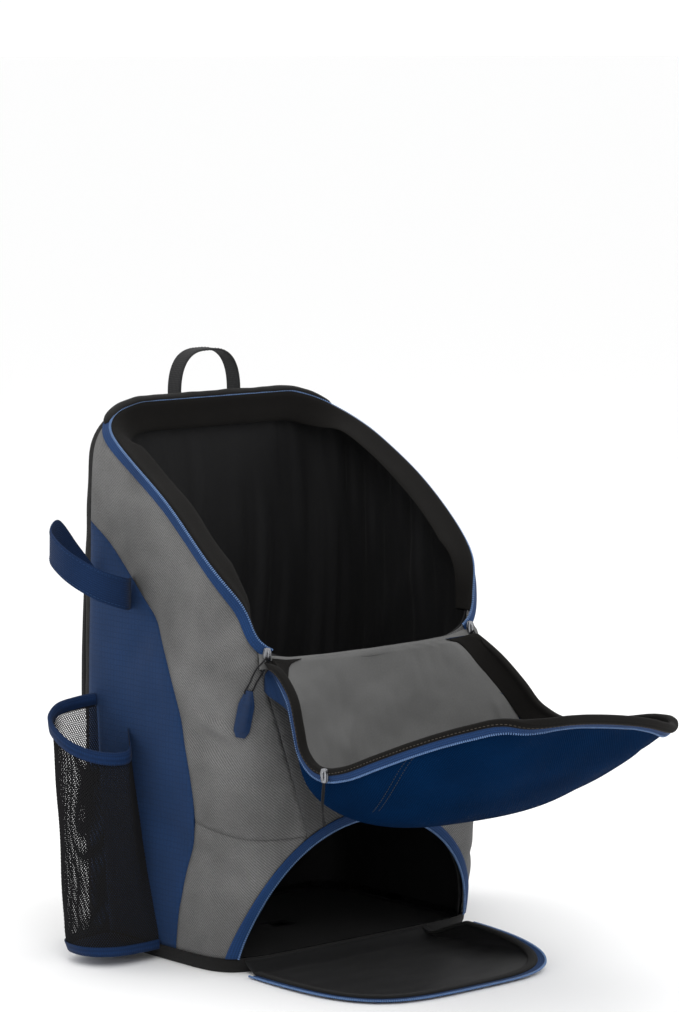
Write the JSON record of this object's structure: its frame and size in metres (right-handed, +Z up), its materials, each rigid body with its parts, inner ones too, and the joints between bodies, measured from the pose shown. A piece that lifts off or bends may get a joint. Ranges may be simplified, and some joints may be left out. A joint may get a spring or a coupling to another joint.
{
  "type": "baseball bat backpack",
  "caption": "Open cloth backpack with a hanging front flap, a shoe compartment with its door down, and a mesh bat sleeve and strap on each side.",
  "frame": {"origin": "on the floor, in the middle of the body's width and near the middle of its depth", "axes": "+Z up, -Y is the front that opens, +X is on the right when the bag is seen from behind"},
  "size_m": [0.4826, 0.6359, 0.5585],
  "materials": {
    "gray_cloth": "woven polyester, matt",
    "navy_cloth": "ripstop, matt",
    "navy_flap_cloth": "woven twill with a slight sheen",
    "navy_webbing": "woven webbing and binding",
    "black_cloth": "woven polyester, matt",
    "black_lining": "thin lining cloth",
    "gray_lining": "thin lining cloth",
    "brown_black_facing": "plain facing cloth",
    "blue_zip_tape": "zip tape with a coil",
    "black_mesh": "diamond mesh netting",
    "dark_webbing": "ribbed webbing",
    "black_cord": "round cord",
    "slider_metal": "cast, plated",
    "blue_plastic": "moulded soft plastic"
  },
  "bodies": {
    "root": {"base_tray": "black_cloth", "back_panel": "black_cloth", "front_panel": "gray_cloth", "side_panel_upper_left": "gray_cloth", "side_panel_lower_left": "gray_cloth", "side_gusset_left": "navy_cloth", "side_panel_upper_right": "gray_cloth", "side_panel_lower_right": "gray_cloth", "side_gusset_right": "navy_cloth", "inner_lining": "black_lining", "compartment_shelf": "black_lining", "main_facing": "brown_black_facing", "main_zip_tape": "blue_zip_tape", "shoe_arch_tape": "blue_zip_tape", "front_flap": "navy_flap_cloth", "flap_lining": "gray_lining", "flap_facing": "brown_black_facing", "flap_zip_tape": "blue_zip_tape", "flap_gusset_left": "navy_flap_cloth", "flap_gusset_right": "navy_flap_cloth", "shoe_door": "black_cloth", "shoe_door_tape": "blue_zip_tape", "bat_sleeve_left": "black_mesh", "sleeve_binding_left": "navy_webbing", "sleeve_floor_left": "navy_cloth", "bat_strap_left": "navy_webbing", "bat_sleeve_right": "black_mesh", "sleeve_binding_right": "navy_webbing", "sleeve_floor_right": "navy_cloth", "bat_strap_right": "navy_webbing", "haul_loop": "dark_webbing", "shoulder_strap_left": "black_cloth", "strap_webbing_left": "dark_webbing", "shoulder_strap_right": "black_cloth", "strap_webbing_right": "dark_webbing", "main_slider_left": "slider_metal", "pull_cord_left": "black_cord", "pull_tab_left": "blue_plastic", "main_slider_right": "slider_metal", "pull_cord_right": "black_cord", "pull_tab_right": "blue_plastic", "flap_slider": "slider_metal", "flap_pull_cord": "black_cord"}
  },
  "joints": []
}
